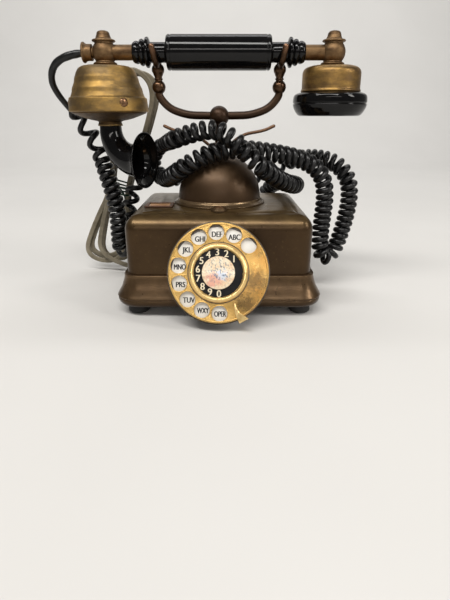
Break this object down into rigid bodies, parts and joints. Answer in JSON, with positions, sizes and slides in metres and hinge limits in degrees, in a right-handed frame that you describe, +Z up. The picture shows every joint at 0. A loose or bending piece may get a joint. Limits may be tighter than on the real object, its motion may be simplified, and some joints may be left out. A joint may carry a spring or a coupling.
{
  "type": "rotary_telephone",
  "caption": "Antique style rotary cradle telephone: flared bronze base, dome, tilted finger dial, forked cradle on a sprung stem, handset with mouthpiece horn, curly cord, tied line cord.",
  "frame": {"origin": "on the table under the middle of the base", "axes": "X to the user's right, Y away from the user, Z up"},
  "size_m": [0.27, 0.2219, 0.2176],
  "materials": {
    "bronze_paint": "aged bronze lacquer, satin",
    "brown_brass": "browned brass",
    "card_black": "black card with cream numerals",
    "card_cream": "printed card under clear film",
    "copper_plate": "bright copper plate in a dark frame",
    "cord_black": "satin black jacket",
    "cord_ivory": "ivory grey jacket",
    "dark_metal": "dark painted metal",
    "enamel_white": "white enamel with black letters",
    "foot_rubber": "matte black rubber",
    "gear_brass": "machined brass",
    "gloss_black": "gloss black moulding",
    "gold_plate": "polished gold plate with brown tarnish",
    "insulator": "brown insulating board",
    "steel": "plain steel",
    "tie_green": "dark green tie",
    "worn_brass": "worn yellow brass"
  },
  "bodies": {
    "base": {"housing": "bronze_paint", "plinth": "bronze_paint", "dome_flange": "bronze_paint", "dome": "bronze_paint", "stem_collar": "bronze_paint", "base_plate": "steel", "hook_bracket": "steel", "ringer_frame": "steel", "gong_left": "steel", "gong_right": "steel", "dial_frame": "steel", "return_spring": "steel", "capacitor": "steel", "feet": "foot_rubber", "cord_grommets": "foot_rubber", "name_plate": "copper_plate", "hook_contacts": "insulator", "ringer_coils": "insulator", "terminal_board": "insulator", "induction_coil": "insulator", "pulse_contacts": "insulator", "dial_cup": "dark_metal", "letter_plate": "enamel_white", "finger_stop": "gold_plate", "handset_cord_lead": "cord_black", "handset_cord_coil": "cord_black", "line_cord_lead": "cord_ivory", "line_cord_hank": "cord_ivory", "line_cord_tail": "cord_ivory", "line_plug": "cord_ivory", "hank_tie": "tie_green"},
    "dial": {"finger_wheel": "gold_plate", "card_ring": "gold_plate", "number_card": "card_black", "centre_card": "card_cream", "dial_shaft": "steel", "main_gear": "gear_brass"},
    "pulse": {"pulse_pinion": "gear_brass"},
    "fly": {"governor": "gear_brass"},
    "cradle": {"cradle_stem": "bronze_paint", "cradle_hub": "bronze_paint", "cradle_arm_left": "bronze_paint", "cradle_arm_right": "bronze_paint", "cradle_fork_left": "bronze_paint", "cradle_fork_right": "bronze_paint"},
    "hook": {"hook_lever": "steel"},
    "striker": {"clapper": "steel"},
    "handset": {"handle_grip": "gloss_black", "horn": "gloss_black", "ear_cap": "gloss_black", "handle_tube": "brown_brass", "receiver_cup": "brown_brass", "cord_ferrule": "brown_brass", "ball_fitting_left": "worn_brass", "ball_fitting_right": "worn_brass", "finials": "worn_brass", "transmitter_shell": "worn_brass", "transmitter_base": "dark_metal", "transmitter_capsule": "steel", "receiver_capsule": "steel"}
  },
  "joints": [
    {"name": "dial_spin", "type": "hinge", "parent": "base", "child": "dial", "pos_m": [0, -0.09, 0.0445], "axis": [0, 0.9397, -0.342], "range_deg": [0, 326]},
    {"name": "pulse_spin", "type": "hinge", "parent": "base", "child": "pulse", "pos_m": [0, -0.0967, 0.02608], "axis": [0, 0.9397, -0.342], "range_deg": [-1200, 0]},
    {"name": "governor_spin", "type": "hinge", "parent": "base", "child": "fly", "pos_m": [-0.0189, -0.09, 0.0445], "axis": [0, 0.9397, -0.342], "range_deg": [-1440, 0]},
    {"name": "cradle_slide", "type": "slide", "parent": "base", "child": "cradle", "axis": [0, 0, 1], "range_m": [0, 0.006], "stiffness_N_per_m": 150, "springref_m": 0.012},
    {"name": "hook_lever_turn", "type": "hinge", "parent": "base", "child": "hook", "pos_m": [0.022, 0, 0.05], "axis": [0, 1, 0], "range_deg": [0, 16]},
    {"name": "handset_lift", "type": "slide", "parent": "cradle", "child": "handset", "axis": [0, 0, 1], "range_m": [0, 0.08], "deforming": ["handset_cord_lead"]},
    {"name": "clapper_swing", "type": "hinge", "parent": "base", "child": "striker", "pos_m": [0, 0.036, 0.0225], "axis": [0, 1, 0], "range_deg": [-13, 13]}
  ],
  "couplings": [
    {"joint": "pulse_spin", "follows": "dial_spin", "ratio": -3.6667},
    {"joint": "governor_spin", "follows": "dial_spin", "ratio": -4.4},
    {"joint": "hook_lever_turn", "follows": "cradle_slide", "rad_per_m": 45.455}
  ]
}
